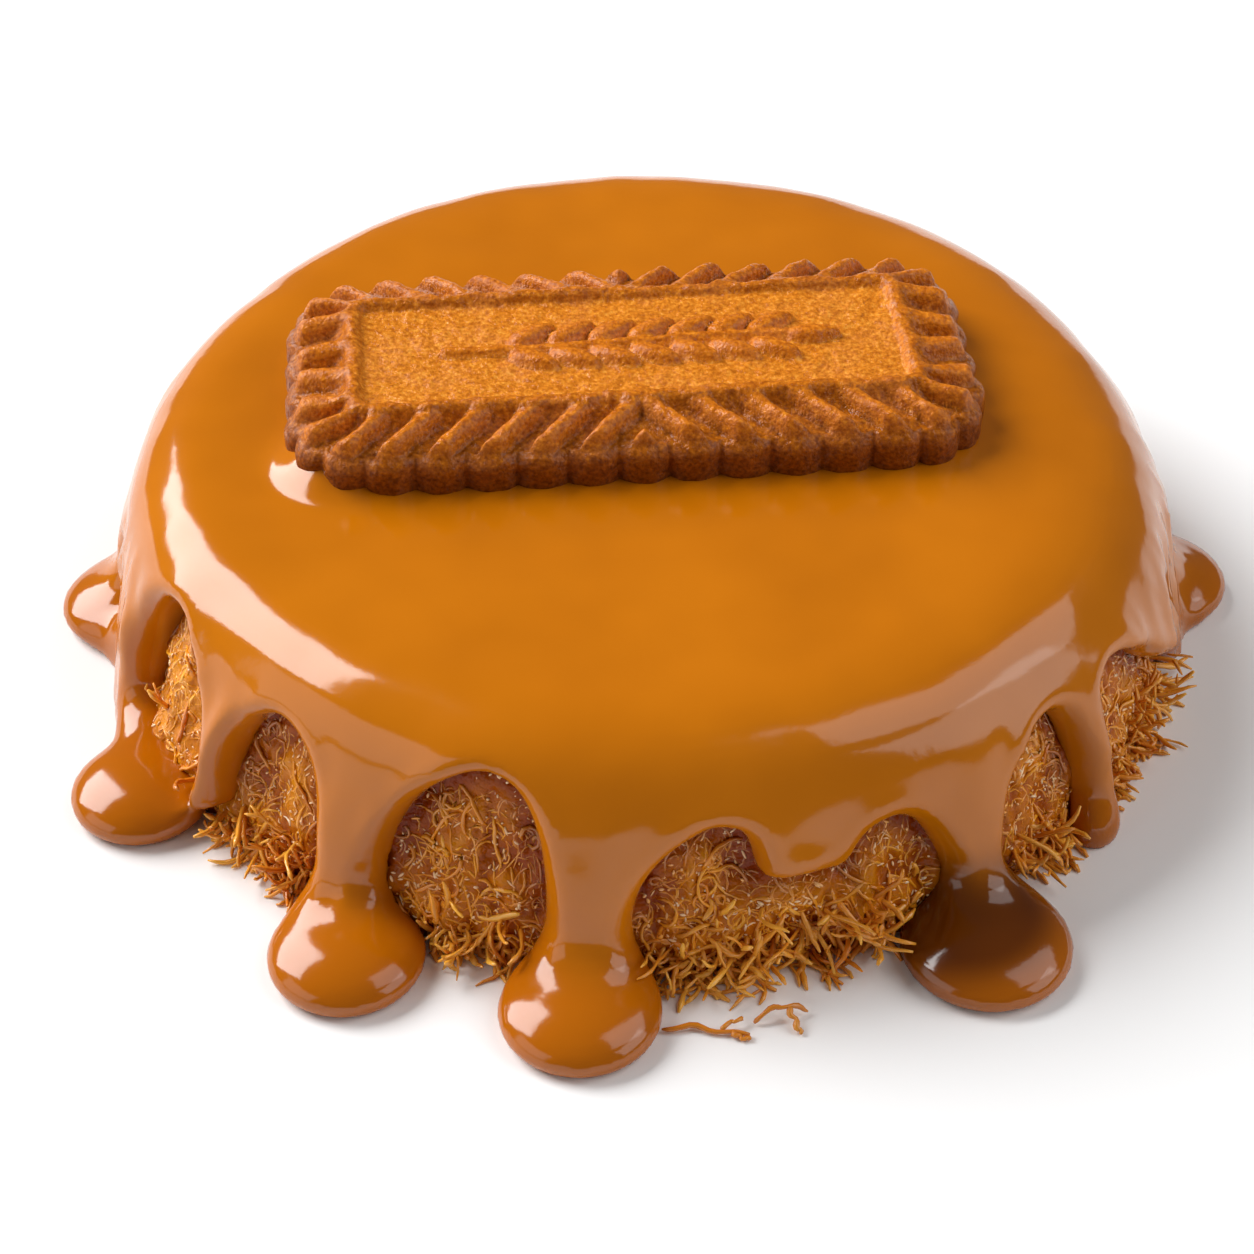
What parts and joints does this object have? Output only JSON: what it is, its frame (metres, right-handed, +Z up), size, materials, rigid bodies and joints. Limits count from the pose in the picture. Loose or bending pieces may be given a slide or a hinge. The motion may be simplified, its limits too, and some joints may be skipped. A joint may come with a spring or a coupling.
{
  "type": "kunafa",
  "caption": "Round kunafa of shredded pastry under a glossy poured caramel glaze that drips and pools round it, with an oblong ribbed biscuit on top.",
  "frame": {"origin": "middle of the cake's flat underside, on the table", "axes": "+Z up out of the table; -Y is the front that the picture shows; +X to the right of it"},
  "size_m": [0.1101, 0.1166, 0.0275],
  "materials": {
    "pastry": "syrup-soaked golden pastry shreds, with wet highlights",
    "glaze": "very glossy poured caramel",
    "biscuit": "baked, fine-grained, darker at the sides, a little wet"
  },
  "bodies": {
    "root": {"shredded_pastry": "pastry", "caramel_glaze": "glaze", "ribbed_biscuit": "biscuit"}
  },
  "joints": []
}
